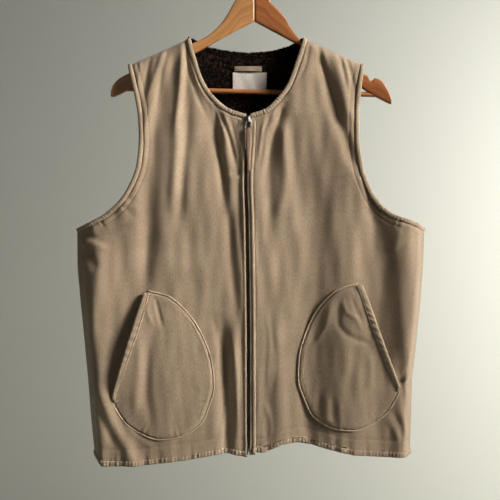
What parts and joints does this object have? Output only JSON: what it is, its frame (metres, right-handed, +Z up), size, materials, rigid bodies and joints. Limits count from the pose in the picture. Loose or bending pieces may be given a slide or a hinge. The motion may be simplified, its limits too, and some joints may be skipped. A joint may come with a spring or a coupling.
{
  "type": "deck vest on a coat hanger",
  "caption": "Sleeveless pile-lined deck vest with a round neck, front zip and round slant-mouth patch pockets, hung flat on a wooden coat hanger.",
  "frame": {"origin": "the bearing point inside the top of the hanger's hook", "axes": "+Z up, +X towards the wearer's left, the front of the vest faces -Y, the hanger's middle plane is y = 0"},
  "size_m": [0.5568, 0.0832, 0.8077],
  "materials": {
    "deck_cloth": "matt khaki fine-ribbed cotton",
    "binding": "matt khaki folded cotton binding",
    "pile": "dark brown curly pile",
    "zip_cloth": "matt brown woven tape",
    "zip_metal": "worn silver metal",
    "pull_leather": "soft tan leather",
    "label_cloth": "plain off-white woven label",
    "light_wood": "satin varnished light wood",
    "dark_wood": "satin varnished darker wood",
    "hook_wire": "plated steel wire"
  },
  "bodies": {
    "vest": {"front_right": "deck_cloth", "front_left": "deck_cloth", "back": "deck_cloth", "lining_front_right": "pile", "lining_front_left": "pile", "lining_back": "pile", "armhole_binding_right": "binding", "armhole_binding_left": "binding", "neck_binding": "binding", "hem_binding": "binding", "pocket_right": "deck_cloth", "pocket_left": "deck_cloth", "pocket_welt_right": "binding", "pocket_welt_left": "binding", "pocket_cord_right": "binding", "pocket_cord_left": "binding", "zip_tape": "zip_cloth", "zip_chain": "zip_metal", "zip_slider": "zip_metal", "label": "label_cloth", "hanging_loop": "deck_cloth", "hanger_arm_right": "light_wood", "hanger_arm_left": "dark_wood", "hanger_bar": "light_wood", "hanger_hook": "hook_wire"},
    "zip_pull": {"zip_pull_tab": "zip_metal", "zip_pull_strip": "pull_leather"}
  },
  "joints": [
    {"name": "pull_tab_swing", "type": "hinge", "parent": "vest", "child": "zip_pull", "pos_m": [-0.01289, -0.03705, -0.26547], "axis": [-1, 0, 0], "range_deg": [0, 150]}
  ]
}
